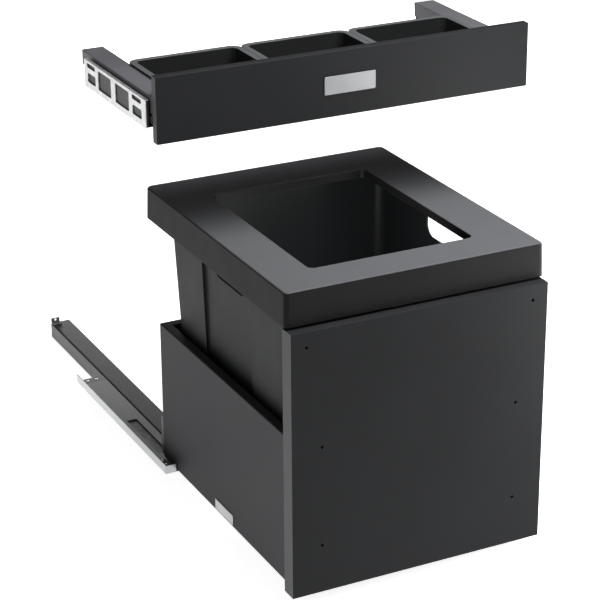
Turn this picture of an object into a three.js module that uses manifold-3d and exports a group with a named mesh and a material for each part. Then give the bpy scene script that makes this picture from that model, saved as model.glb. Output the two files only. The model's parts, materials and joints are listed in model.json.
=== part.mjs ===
// Pull-out waste unit for a kitchen cabinet: a carriage with one large bin and a frame lid on
// telescopic runners, and above it a shallow inner drawer with three trays.
// Millimetres, +Z up, +X to the right, +Y towards the back of the cabinet. The carriage is shown
// pulled out. The origin is at the middle of the footprint, on the cabinet floor.

import * as THREE from 'three';
import { mergeVertices } from 'three/addons/utils/BufferGeometryUtils.js';
import Module from 'manifold-3d';

const wasm = await Module();
wasm.setup();

// ---------------------------------------------------------------- driving dimensions

const GAP = 0.3; // between pieces that touch
const SHEET = 1.5; // steel sheet

const front = { halfWidth: 190, thickness: 25, height: 380.5, y: -493, bottom: 16.5, holeRadius: 2.5 };
const frontBack = front.y + front.thickness;
const frontTop = front.bottom + front.height;

const carriage = { halfWidth: 186, board: 14, rear: -55, bottom: 27.7, top: 243.8 };
carriage.inner = carriage.halfWidth - carriage.board;
const floorBoard = { bottom: 29.5, thickness: 12 };
const floorTop = floorBoard.bottom + floorBoard.thickness;

const bin = {
  wall: 3,
  bottom: floorTop + GAP,
  top: 443.7,
  foot: { x: 161, front: -453.5, rear: -88.5 },
  mouth: { x: 173.5, front: -465, rear: -65.5 },
  radius: 18,
  rimWidth: 9,
  rimThickness: 3,
};
const recess = { y: -254.5, width: 150, depth: 4, top: 432 };
const grip = { y: -263, width: 100, bottom: 374, top: 418, radius: 18 };

const lid = {
  halfWidth: 191.5,
  front: -480,
  rear: -30,
  bottom: 401,
  top: 448,
  wall: 4,
  draft: 1.2,
  radius: 6,
  edge: 3,
  collarDepth: 12,
};
const opening = { x0: -125, x1: 118.5, y0: -417.5, y1: -110.5, radius: 8 };

const profile = { outer: 160.5, width: 32.5, height: 27.5, wall: 2, front: -102.5, rear: 493 };
const rail = { outer: 205, bottom: 24.3, top: 39.3, front: -102.5, rear: 255.5, web: 1.2 };
const cover = { outer: 197.5, thickness: 1, slotWidth: 16, slotEnd: 84, slotInset: 8.5 };
const railEnd = { length: 17, thickness: 1 };
const middle = { outer: 155.5, width: 24, bottom: 5, height: 17, front: -280, rear: 50 };
const runner = { leg: 125, front: -440, rear: -60, flange: 26 };
const shoe = { width: 9, length: 24, z: 13.5, height: 13.4, pin: 3 };

const drawer = { halfWidth: 276.5, front: -288, thickness: 13.3, bottom: 599, top: 688.5 };
const drawerBack = drawer.front + drawer.thickness;
const side = { outer: 276, inner: 244.6, bottom: 638.6, top: 659.5, rear: -32 };
const pan = { bottom: 606, rear: -117 };
const tray = { rimHalf: 247, rim: 9, rimThickness: 3, top: 662.8, bottom: 608.2, wall: 2, radius: 10 };
const plate = { outer: 284, front: -270, rear: -57, bottom: 616.7, top: 654.9, lip: 5 };
const badge = { x: 1, width: 76, height: 25, z: 643, thickness: 0.8 };

// ---------------------------------------------------------------- materials

const material = (color, roughness, metalness) =>
  new THREE.MeshStandardMaterial({ color, roughness, metalness, flatShading: true });
const anthracite = material(0x3d3e41, 0.55, 0.1);
const boardCoat = material(0x46474b, 0.6, 0.05);
const binPlastic = material(0x303234, 0.5, 0);
const lidPlastic = material(0x3a3c3e, 0.45, 0);
const darkSteel = material(0x2b2b2c, 0.4, 0.6);
const zincSteel = material(0xc4c6c8, 0.35, 0.9);
const brightSteel = material(0xd8d9da, 0.3, 0.95);
const blackPlastic = material(0x161718, 0.5, 0);
const labelGrey = material(0xb9bbbd, 0.5, 0.1);

// ---------------------------------------------------------------- geometry helpers

// A welded copy that holds positions only.
function weld(geometry) {
  const bare = geometry.clone();
  bare.deleteAttribute('normal');
  bare.deleteAttribute('uv');
  return mergeVertices(bare, 1e-4);
}

function toSolid(geometry) {
  const welded = weld(geometry);
  return new wasm.Manifold(
    new wasm.Mesh({
      numProp: 3,
      vertProperties: new Float32Array(welded.attributes.position.array),
      triVerts: new Uint32Array(welded.index.array),
    }),
  );
}

function toGeometry(solid) {
  const mesh = solid.getMesh();
  const geometry = new THREE.BufferGeometry();
  geometry.setAttribute('position', new THREE.BufferAttribute(mesh.vertProperties, 3));
  geometry.setIndex(new THREE.BufferAttribute(mesh.triVerts, 1));
  return geometry;
}

function join(first, ...others) {
  return toGeometry(others.reduce((sum, other) => sum.add(toSolid(other)), toSolid(first)));
}

function cut(body, ...tools) {
  return toGeometry(tools.reduce((rest, tool) => rest.subtract(toSolid(tool)), toSolid(body)));
}

function mirrorX(geometry) {
  const mirrored = weld(geometry).scale(-1, 1, 1);
  const index = mirrored.index.array;
  for (let i = 0; i < index.length; i += 3) {
    [index[i], index[i + 1]] = [index[i + 1], index[i]];
  }
  return mirrored;
}

function block([x0, x1], [y0, y1], [z0, z1]) {
  return new THREE.BoxGeometry(x1 - x0, y1 - y0, z1 - z0).translate(
    (x0 + x1) / 2,
    (y0 + y1) / 2,
    (z0 + z1) / 2,
  );
}

function polygon(points) {
  return new THREE.Shape(points.map(([a, b]) => new THREE.Vector2(a, b)));
}

// A rectangle with rounded corners; Type is THREE.Shape for an outline, THREE.Path for a hole.
function roundedRectangle(a0, a1, b0, b1, radius, Type = THREE.Shape) {
  const outline = new Type();
  outline.moveTo(a0 + radius, b0);
  outline.absarc(a1 - radius, b0 + radius, radius, -Math.PI / 2, 0);
  outline.absarc(a1 - radius, b1 - radius, radius, 0, Math.PI / 2);
  outline.absarc(a0 + radius, b1 - radius, radius, Math.PI / 2, Math.PI);
  outline.absarc(a0 + radius, b0 + radius, radius, Math.PI, Math.PI * 1.5);
  outline.closePath();
  return outline;
}

const extrude = (shape, depth, curveSegments = 5) =>
  new THREE.ExtrudeGeometry(shape, { depth, curveSegments, bevelEnabled: false });

// A section drawn in X and Z, run along Y.
const alongY = (shape, y0, y1) => extrude(shape, y1 - y0).rotateX(Math.PI / 2).translate(0, y1, 0);

// A section drawn in Y and Z, run along X.
const yzToX = new THREE.Matrix4().makeBasis(
  new THREE.Vector3(0, 1, 0),
  new THREE.Vector3(0, 0, 1),
  new THREE.Vector3(1, 0, 0),
);
const alongX = (shape, x0, x1) => extrude(shape, x1 - x0).applyMatrix4(yzToX).translate(x0, 0, 0);

// A section drawn in X and Y, run along Z.
const alongZ = (shape, z0, z1) => extrude(shape, z1 - z0).translate(0, 0, z0);

// Round bars along Y and along X, each with its middle at the given place.
const rodY = (radius, length, x, y, z, sides = 16) =>
  new THREE.CylinderGeometry(radius, radius, length, sides).translate(x, y, z);
const rodX = (radius, length, x, y, z, sides = 24) =>
  new THREE.CylinderGeometry(radius, radius, length, sides).rotateZ(Math.PI / 2).translate(x, y, z);

// Points of a rounded rectangle at height z, anticlockwise seen from above.
function ring(x0, x1, y0, y1, radius, z, steps = 5) {
  const centres = [
    [x1 - radius, y0 + radius],
    [x1 - radius, y1 - radius],
    [x0 + radius, y1 - radius],
    [x0 + radius, y0 + radius],
  ];
  return centres.flatMap(([cx, cy], corner) =>
    Array.from({ length: steps + 1 }, (_, step) => {
      const angle = (corner - 1 + step / steps) * (Math.PI / 2);
      return [cx + radius * Math.cos(angle), cy + radius * Math.sin(angle), z];
    }),
  );
}

// Skins a stack of rings. An open stack is capped at both ends; a closed one returns to its start.
function loft(rings, closed = false) {
  const count = rings[0].length;
  const index = [];
  const last = closed ? rings.length : rings.length - 1;
  for (let level = 0; level < last; level += 1) {
    const low = level * count;
    const high = ((level + 1) % rings.length) * count;
    for (let i = 0; i < count; i += 1) {
      const next = (i + 1) % count;
      index.push(low + i, low + next, high + next, low + i, high + next, high + i);
    }
  }
  if (!closed) {
    const end = (rings.length - 1) * count;
    for (let i = 1; i < count - 1; i += 1) {
      index.push(0, i + 1, i, end, end + i, end + i + 1);
    }
  }
  const geometry = new THREE.BufferGeometry();
  geometry.setAttribute('position', new THREE.Float32BufferAttribute(rings.flat(2), 3));
  geometry.setIndex(index);
  return geometry;
}

// ---------------------------------------------------------------- the assembly

const group = new THREE.Group();

function add(name, geometry, finish) {
  const mesh = new THREE.Mesh(geometry, finish);
  mesh.name = name;
  group.add(mesh);
}

// Adds a piece drawn on the left, and its mirror image on the right.
function addPair(name, geometry, finish) {
  add(`${name}_left`, geometry, finish);
  add(`${name}_right`, mirrorX(geometry), finish);
}

// ---------------------------------------------------------------- carriage

function frontPanel() {
  const { halfWidth, y, bottom, holeRadius, thickness } = front;
  const body = block([-halfWidth, halfWidth], [y, frontBack], [bottom, frontTop]);
  const places = [
    [167.5, 358.5],
    [146, 214],
    [146, 70],
  ];
  const holes = places.flatMap(([x, height]) =>
    [-x, x].map((at) => rodY(holeRadius, thickness * 2, at, y, bottom + height)),
  );
  // The drill stops short of the back face.
  return cut(body, ...holes.map((hole) => hole.translate(0, -5, 0)));
}

function sidePanel() {
  const { halfWidth, inner, rear, bottom, top } = carriage;
  const outline = polygon([
    [-halfWidth, bottom],
    [-inner, bottom],
    [-inner, top],
    [-halfWidth + 2, top],
    [-halfWidth + 0.6, top - 0.6],
    [-halfWidth, top - 2],
  ]);
  return alongY(outline, frontBack + GAP, rear);
}

function angleBracket() {
  const { inner } = carriage;
  const x = -inner + GAP;
  const y = frontBack + GAP;
  const leg = 25;
  const outline = polygon([
    [x, y],
    [x + leg, y],
    [x + leg, y + SHEET],
    [x + SHEET, y + SHEET],
    [x + SHEET, y + leg],
    [x, y + leg],
  ]);
  return alongZ(outline, floorTop + GAP, 205);
}

function rearBracket() {
  const { halfWidth, rear } = carriage;
  const y = rear + GAP;
  const outline = polygon([
    [-halfWidth + 1, y],
    [-halfWidth + 26, y],
    [-halfWidth + 26, y + SHEET],
    [-halfWidth + 1 + SHEET, y + SHEET],
    [-halfWidth + 1 + SHEET, y + 9],
    [-halfWidth + 1, y + 9],
  ]);
  return alongZ(outline, carriage.bottom + 2, carriage.bottom + 64);
}

add('front_panel', frontPanel(), anthracite);
addPair('side_panel', sidePanel(), boardCoat);
const boardSpan = carriage.inner - GAP;
add(
  'rear_panel',
  block(
    [-boardSpan, boardSpan],
    [carriage.rear - carriage.board, carriage.rear],
    [floorBoard.bottom, carriage.top],
  ),
  boardCoat,
);
add(
  'floor_panel',
  block(
    [-boardSpan, boardSpan],
    [frontBack + GAP, carriage.rear - carriage.board - GAP],
    [floorBoard.bottom, floorTop],
  ),
  boardCoat,
);
addPair('front_bracket', angleBracket(), zincSteel);
addPair('rear_bracket', rearBracket(), anthracite);
add(
  'side_plate',
  block([-carriage.halfWidth - 1, -carriage.halfWidth - GAP], [-298.5, -240.5], [30.5, 46]),
  labelGrey,
);

// ---------------------------------------------------------------- bin and lid

// Half width and the front and rear faces of the bin's outer skin at height z.
function binSection(z) {
  const t = (z - bin.bottom) / (bin.top - bin.bottom);
  const mix = (key) => THREE.MathUtils.lerp(bin.foot[key], bin.mouth[key], t);
  return { x: mix('x'), front: mix('front'), rear: mix('rear') };
}

function binRing(z, inset, corner = bin.radius) {
  const { x, front: y0, rear: y1 } = binSection(z);
  return ring(-x + inset, x - inset, y0 + inset, y1 - inset, corner - inset * 0.8, z);
}

// The wedge outside a side wall, from the recess's floor outwards.
function recessWedge(depth, margin) {
  const y0 = recess.y - recess.width / 2 - margin;
  const y1 = recess.y + recess.width / 2 + margin;
  const level = (z) => {
    const inside = -binSection(z).x + depth;
    return [
      [inside - 20, y0, z],
      [inside, y0, z],
      [inside, y1, z],
      [inside - 20, y1, z],
    ];
  };
  return loft([level(bin.bottom - 5), level(recess.top + margin)]);
}

function bucket() {
  const { wall, bottom, top, rimWidth, rimThickness } = bin;
  const outer = loft([binRing(bottom, 5, bin.radius), binRing(bottom + 5, 0), binRing(top, 0)]);
  const inner = loft([
    binRing(bottom + wall, wall + 4),
    binRing(bottom + wall + 5, wall),
    binRing(top + 1, wall),
  ]);
  const wedge = recessWedge(recess.depth, 0);
  const innerWedge = recessWedge(recess.depth + wall, wall);
  const skin = cut(outer, wedge, mirrorX(wedge));
  const hollow = cut(inner, innerWedge, mirrorX(innerWedge));
  const rimOuter = loft([binRing(top - rimThickness, -rimWidth), binRing(top, -rimWidth)]);
  const rimHole = loft([binRing(top - 20, wall / 2), binRing(top + 1, wall / 2)]);
  const shell = cut(skin, hollow);
  const rim = cut(rimOuter, rimHole);
  const [gripFront, gripRear] = [grip.y - grip.width / 2, grip.y + grip.width / 2];
  const gripHole = alongX(
    roundedRectangle(gripFront, gripRear, grip.bottom, grip.top, grip.radius),
    -bin.mouth.x - 20,
    bin.mouth.x + 20,
  );
  return cut(join(shell, rim), gripHole);
}

function lidFrame() {
  const { halfWidth: w, front: f, rear: r, bottom, top, wall, draft, radius, edge, collarDepth } = lid;
  const outside = (inset, z) => ring(-w + inset, w - inset, f + inset, r - inset, radius, z);
  const { x0, x1, y0, y1, radius: corner } = opening;
  const around = (out, z) => ring(x0 - out, x1 + out, y0 - out, y1 + out, corner + out, z);
  return loft(
    [
      outside(0, bottom),
      outside(draft, top - edge),
      outside(draft + edge * 0.3, top - edge * 0.3),
      outside(draft + edge, top),
      around(1.5, top),
      around(0.4, top - 0.4),
      around(0, top - 1.5),
      around(0, top - collarDepth),
      around(wall * 0.6, top - collarDepth),
      around(wall * 0.6, top - wall),
      outside(draft + wall, top - wall),
      outside(wall, bottom),
    ],
    true,
  );
}

add('bin', bucket(), binPlastic);
add('lid_frame', lidFrame(), lidPlastic);

// ---------------------------------------------------------------- runners

// A C section open towards the middle of the unit: outer face at -outer, walls of thickness t.
function channel(outer, width, bottom, height, t) {
  const inner = -outer + width;
  return polygon([
    [-outer, bottom],
    [inner, bottom],
    [inner, bottom + t],
    [-outer + t, bottom + t],
    [-outer + t, bottom + height - t],
    [inner, bottom + height - t],
    [inner, bottom + height],
    [-outer, bottom + height],
  ]);
}

function rearClip() {
  const { outer, height, rear } = profile;
  const base = height + GAP;
  const outline = polygon([
    [rear - 13, base],
    [rear, base],
    [rear, base + 8],
    [rear - SHEET, base + 8],
    [rear - SHEET, base + SHEET],
    [rear - 13, base + SHEET],
  ]);
  const clip = alongX(outline, -outer + 0.5, -outer + 15);
  return cut(clip, rodY(2, 10, -outer + 7.75, rear, base + 4.8, 12));
}

// Outer flange against the cabinet wall, web underneath and a low front stop.
function cabinetRail() {
  const { outer, bottom, top, front: y0, rear: y1, web } = rail;
  const inner = -profile.outer - GAP;
  const angle = polygon([
    [-outer, bottom],
    [inner, bottom],
    [inner, bottom + web],
    [-outer + SHEET, bottom + web],
    [-outer + SHEET, top],
    [-outer, top],
  ]);
  const stop = block(
    [-outer + 0.5, -carriage.halfWidth - 1.5],
    [y0, y0 + SHEET],
    [bottom + 0.5, top - 1],
  );
  return join(alongY(angle, y0, y1), stop);
}

function railCover() {
  const { outer, thickness, slotWidth, slotEnd, slotInset } = cover;
  const z = rail.bottom + rail.web + GAP;
  const inner = -profile.outer - GAP;
  const strip = block(
    [-outer, inner],
    [rail.front + SHEET + GAP, rail.rear - railEnd.length - GAP],
    [z, z + thickness],
  );
  const slotX = -outer + slotInset;
  const slot = alongZ(
    roundedRectangle(slotX, slotX + slotWidth, -42, slotEnd, 1.5),
    z - 1,
    z + thickness + 1,
  );
  return cut(strip, slot);
}

function railEndPlate() {
  const z = rail.bottom + rail.web + GAP;
  const x0 = -rail.outer + SHEET + GAP;
  const body = block(
    [x0, -profile.outer - GAP],
    [rail.rear - railEnd.length, rail.rear],
    [z, z + railEnd.thickness],
  );
  const heads = [x0 + 13.5, x0 + 28].map((x) =>
    new THREE.CylinderGeometry(2, 2.6, 0.8, 16)
      .rotateX(Math.PI / 2)
      .translate(x, rail.rear - railEnd.length / 2, z + railEnd.thickness + 0.2),
  );
  return join(body, ...heads);
}

// A plastic lining between the base profile and the middle rail.
function glide(y0, y1) {
  const pad = 2.4;
  const height = profile.height - 2 * (profile.wall + GAP);
  const outer = profile.outer - profile.wall - GAP;
  return alongY(channel(outer, middle.width + pad, profile.wall + GAP, height, pad), y0, y1);
}

function carriageRunner() {
  const { leg, front: y0, rear: y1, flange } = runner;
  const top = floorBoard.bottom - GAP;
  const outline = polygon([
    [-leg, 8],
    [-leg + SHEET, 8],
    [-leg + SHEET, top - SHEET],
    [-leg + flange, top - SHEET],
    [-leg + flange, top],
    [-leg, top],
  ]);
  return alongY(outline, y0, y1);
}

// A sliding shoe inside the middle rail, on a short pin that reaches to the carriage runner's leg.
function runnerShoe(y) {
  const x = -middle.outer + 8;
  const { width, length, z, height, pin } = shoe;
  const outline = roundedRectangle(y - length / 2, y + length / 2, z - height / 2, z + height / 2, 3);
  const pinLength = -runner.leg - GAP - x;
  return join(alongX(outline, x, x + width), rodX(pin, pinLength, x + pinLength / 2, y, z, 16));
}

const profileSection = channel(profile.outer, profile.width, 0, profile.height, profile.wall);
const middleSection = channel(middle.outer, middle.width, middle.bottom, middle.height, SHEET);
addPair('base_profile', alongY(profileSection, profile.front, profile.rear), darkSteel);
addPair('rear_clip', rearClip(), darkSteel);
addPair('cabinet_rail', cabinetRail(), zincSteel);
addPair('rail_cover', railCover(), zincSteel);
addPair('rail_end_plate', railEndPlate(), zincSteel);
addPair('middle_rail', alongY(middleSection, middle.front, middle.rear), brightSteel);
addPair('front_glide', glide(profile.front + 1, profile.front + 41), blackPlastic);
addPair('rear_glide', glide(middle.rear - 45, middle.rear - 5), blackPlastic);
addPair('carriage_runner', carriageRunner(), zincSteel);
[-265, -150].forEach((y, i) => addPair(`runner_shoe_${i + 1}`, runnerShoe(y), blackPlastic));

const screwPlaces = [-67, -80, -93];
screwPlaces.forEach((y, i) => {
  const top = rail.bottom + rail.web + GAP + cover.thickness;
  const head = new THREE.CylinderGeometry(1.8, 3, 2.4, 16)
    .rotateX(Math.PI / 2)
    .translate(-cover.outer + 4.5, y, top + GAP + 1.2);
  addPair(`rail_screw_${i + 1}`, head, brightSteel);
});

// ---------------------------------------------------------------- inner drawer

add(
  'drawer_front',
  block([-drawer.halfWidth, drawer.halfWidth], [drawer.front, drawerBack], [drawer.bottom, drawer.top]),
  anthracite,
);
add(
  'badge_plate',
  alongY(
    roundedRectangle(
      badge.x - badge.width / 2,
      badge.x + badge.width / 2,
      badge.z - badge.height / 2,
      badge.z + badge.height / 2,
      1.5,
    ),
    drawer.front - GAP - badge.thickness,
    drawer.front - GAP,
  ),
  brightSteel,
);

function drawerSide() {
  const { outer, inner, bottom, top, rear } = side;
  const tube = roundedRectangle(-outer, -inner, bottom, top, 1.2);
  tube.holes.push(roundedRectangle(-outer + 2, -inner - 2, bottom + 2, top - 2, 1, THREE.Path));
  return alongY(tube, drawerBack + GAP, rear);
}

function drawerCap() {
  const { outer, inner, bottom, top, rear } = side;
  const face = block([-outer + 0.2, -inner - 0.2], [rear + GAP, rear + GAP + 3], [bottom + 0.2, top - 0.2]);
  const hook = block([-inner - 9, -inner - 3], [rear + GAP, rear + GAP + 5], [bottom - 5, bottom + 8]);
  return join(face, hook);
}

function trayPan() {
  const outer = side.inner - GAP;
  const edge = side.top - 2;
  const outline = polygon([
    [-outer, pan.bottom],
    [outer, pan.bottom],
    [outer, edge],
    [outer - SHEET, edge],
    [outer - SHEET, pan.bottom + SHEET],
    [-outer + SHEET, pan.bottom + SHEET],
    [-outer + SHEET, edge],
    [-outer, edge],
  ]);
  return alongY(outline, drawerBack + GAP, pan.rear);
}

function organiserTray(x0, x1) {
  const { rim, rimThickness, top, bottom, wall, radius } = tray;
  const y0 = drawerBack + 0.8;
  const y1 = pan.rear - 0.4;
  const at = (inset, z, corner) => ring(x0 + inset, x1 - inset, y0 + inset, y1 - inset, corner, z);
  const outer = rim - wall;
  return loft([
    at(outer + 5, bottom, radius),
    at(outer + 1.5, bottom + 4, radius + 2),
    at(outer, top - rimThickness, radius + 2),
    at(0, top - rimThickness, radius + 2),
    at(0, top - 0.8, radius + 2),
    at(0.8, top, radius + 1.5),
    at(rim - 0.8, top, radius),
    at(rim, top - 0.8, radius),
    at(rim + 1.5, bottom + 6, radius),
    at(rim + 5, bottom + wall, radius - 2),
  ]);
}

addPair('drawer_side', drawerSide(), anthracite);
addPair('drawer_cap', drawerCap(), blackPlastic);
add('tray_pan', trayPan(), anthracite);
const trayPitch = (2 * tray.rimHalf) / 3;
['left', 'centre', 'right'].forEach((name, i) => {
  const start = -tray.rimHalf + i * trayPitch;
  add(`tray_${name}`, organiserTray(start + GAP / 2, start + trayPitch - GAP / 2), binPlastic);
});

// Windows of the adapter plate: start and end along its length from the rear, and below its top edge.
const windows = [
  { along: [0.05, 0.185], down: [0.08, 0.24], radius: 2.6 },
  { along: [0.055, 0.19], down: [0.43, 0.77], radius: 2.6 },
  { along: [0.235, 0.45], down: [0.11, 0.8], radius: 3 },
  { along: [0.52, 0.74], down: [0.11, 0.8], radius: 3 },
  { along: [0.79, 0.935], down: [0.08, 0.24], radius: 2.6 },
  { along: [0.795, 0.94], down: [0.44, 0.77], radius: 2.6 },
];

function adapterPlate() {
  const { outer, front: y0, rear: y1, bottom, top, lip } = plate;
  const length = y1 - y0;
  const height = top - bottom;
  const outline = roundedRectangle(y0, y1, bottom, top, 1.2);
  outline.holes = windows.map(({ along, down, radius }) =>
    roundedRectangle(
      y1 - along[1] * length,
      y1 - along[0] * length,
      top - down[1] * height,
      top - down[0] * height,
      radius,
      THREE.Path,
    ),
  );
  const sheet = alongX(outline, -outer, -outer + SHEET);
  const fold = block([-outer + 0.5, -outer + lip], [y0 + 2, y1 - 2], [top - SHEET, top]);
  return join(sheet, fold);
}

const blockX = -plate.outer + SHEET + GAP;

function slideBlock() {
  const { front: y0, rear: y1, bottom, top } = plate;
  const wallEnd = blockX + 4.2;
  const floorEnd = -248;
  const outline = polygon([
    [blockX, bottom + 1],
    [floorEnd, bottom + 1],
    [floorEnd, bottom + 9],
    [floorEnd - 2, bottom + 9],
    [floorEnd - 2, bottom + 3],
    [wallEnd, bottom + 3],
    [wallEnd, top - SHEET - GAP],
    [blockX, top - SHEET - GAP],
  ]);
  return alongY(outline, y0 + 1, y1 - 1);
}

function drawerSlide() {
  const bottom = plate.bottom + 3 + GAP;
  const outline = polygon([
    [-275, bottom],
    [-253, bottom],
    [-253, bottom + 11],
    [-253 - SHEET, bottom + 11],
    [-253 - SHEET, bottom + SHEET],
    [-275 + SHEET, bottom + SHEET],
    [-275 + SHEET, bottom + 11],
    [-275, bottom + 11],
  ]);
  return alongY(outline, plate.front + 3, plate.rear - 6);
}

function drawerRunner() {
  const top = side.bottom - GAP;
  const foot = plate.bottom + 3 + GAP + SHEET + GAP;
  const outline = polygon([
    [-270, foot],
    [-258, foot],
    [-258, foot + 6],
    [-263, foot + 6],
    [-263, top - SHEET],
    [-252, top - SHEET],
    [-252, top],
    [-276, top],
    [-276, top - SHEET],
    [-265, top - SHEET],
    [-265, foot + 6],
    [-270, foot + 6],
  ]);
  return alongY(outline, drawerBack + 3, side.rear - 4);
}

addPair('adapter_plate', adapterPlate(), brightSteel);
addPair('slide_block', slideBlock(), blackPlastic);
addPair('drawer_slide', drawerSlide(), zincSteel);
addPair('drawer_runner', drawerRunner(), zincSteel);

export default group;
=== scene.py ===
"""Finishes and finer shapes for a pull-out kitchen waste unit.

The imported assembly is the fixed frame. Boards and small fittings keep their shape and get a
finish and softened edges. The bin, the lid, the trays, the bent steel parts, the fixing plates
and the screw heads are made again in the same places, with finer shapes.
"""

import json
import logging
import math
from collections.abc import Iterable
from dataclasses import dataclass, field
from enum import Enum, StrEnum
from itertools import pairwise
from typing import Any, ClassVar

import bmesh
import bpy
from mathutils import Matrix, Quaternion, Vector


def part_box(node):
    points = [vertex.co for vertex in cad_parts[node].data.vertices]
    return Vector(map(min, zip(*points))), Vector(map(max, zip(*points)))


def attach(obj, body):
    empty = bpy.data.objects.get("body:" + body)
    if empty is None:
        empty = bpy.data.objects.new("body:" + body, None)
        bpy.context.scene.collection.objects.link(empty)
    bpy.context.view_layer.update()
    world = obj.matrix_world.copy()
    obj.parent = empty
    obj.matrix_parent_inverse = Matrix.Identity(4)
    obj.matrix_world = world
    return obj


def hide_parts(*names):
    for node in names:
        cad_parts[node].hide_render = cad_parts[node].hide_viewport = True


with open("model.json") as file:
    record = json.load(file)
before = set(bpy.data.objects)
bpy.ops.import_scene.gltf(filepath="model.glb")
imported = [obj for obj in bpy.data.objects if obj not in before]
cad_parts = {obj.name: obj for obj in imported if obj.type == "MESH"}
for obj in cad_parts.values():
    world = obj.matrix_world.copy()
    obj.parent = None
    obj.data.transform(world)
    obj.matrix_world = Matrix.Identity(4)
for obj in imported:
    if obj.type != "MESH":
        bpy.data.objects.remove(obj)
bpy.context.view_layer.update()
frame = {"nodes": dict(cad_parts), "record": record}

MM = 0.001
log = logging.getLogger("waste_unit")

Colour = tuple[float, float, float]


class Side(StrEnum):
    """The half of the unit that a paired piece belongs to."""

    LEFT = "left"
    RIGHT = "right"


class Axis(Enum):
    """A direction of the unit, by its place in a vector."""

    X = 0
    Y = 1
    Z = 2


# ---------- shader graph


class Value:
    """A number that varies over a surface; arithmetic on it adds Math nodes."""

    def __init__(self, graph: "Graph", socket: bpy.types.NodeSocket) -> None:
        """Keeps the socket and the graph that it belongs to."""
        self.graph = graph
        self.socket = socket

    def math(self, operation: str, *operands: "Value | float") -> "Value":
        """Adds a Math node, by Blender's name of its operation, and returns its result."""
        node = self.graph.node(
            "ShaderNodeMath", {"operation": operation}, dict(enumerate(operands))
        )
        return Value(self.graph, node.outputs[0])

    def __add__(self, other: "Value | float") -> "Value":
        """Returns self + other."""
        return self.math("ADD", self, other)

    def __radd__(self, other: float) -> "Value":
        """Returns other + self."""
        return self.math("ADD", other, self)

    def __sub__(self, other: "Value | float") -> "Value":
        """Returns self - other."""
        return self.math("SUBTRACT", self, other)

    def __rsub__(self, other: float) -> "Value":
        """Returns other - self."""
        return self.math("SUBTRACT", other, self)

    def __mul__(self, other: "Value | float") -> "Value":
        """Returns self * other."""
        return self.math("MULTIPLY", self, other)

    def __rmul__(self, other: float) -> "Value":
        """Returns other * self."""
        return self.math("MULTIPLY", other, self)

    def __abs__(self) -> "Value":
        """Returns the size of the value without its sign."""
        return self.math("ABSOLUTE", self)

    def spread(self, low: float, high: float) -> "Value":
        """Stretches the part from low to high over 0 to 1, eased and then held at both ends."""
        node = self.graph.node(
            "ShaderNodeMapRange",
            {"interpolation_type": "SMOOTHSTEP"},
            {"Value": self, "From Min": low, "From Max": high},
        )
        return Value(self.graph, node.outputs["Result"])


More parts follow.
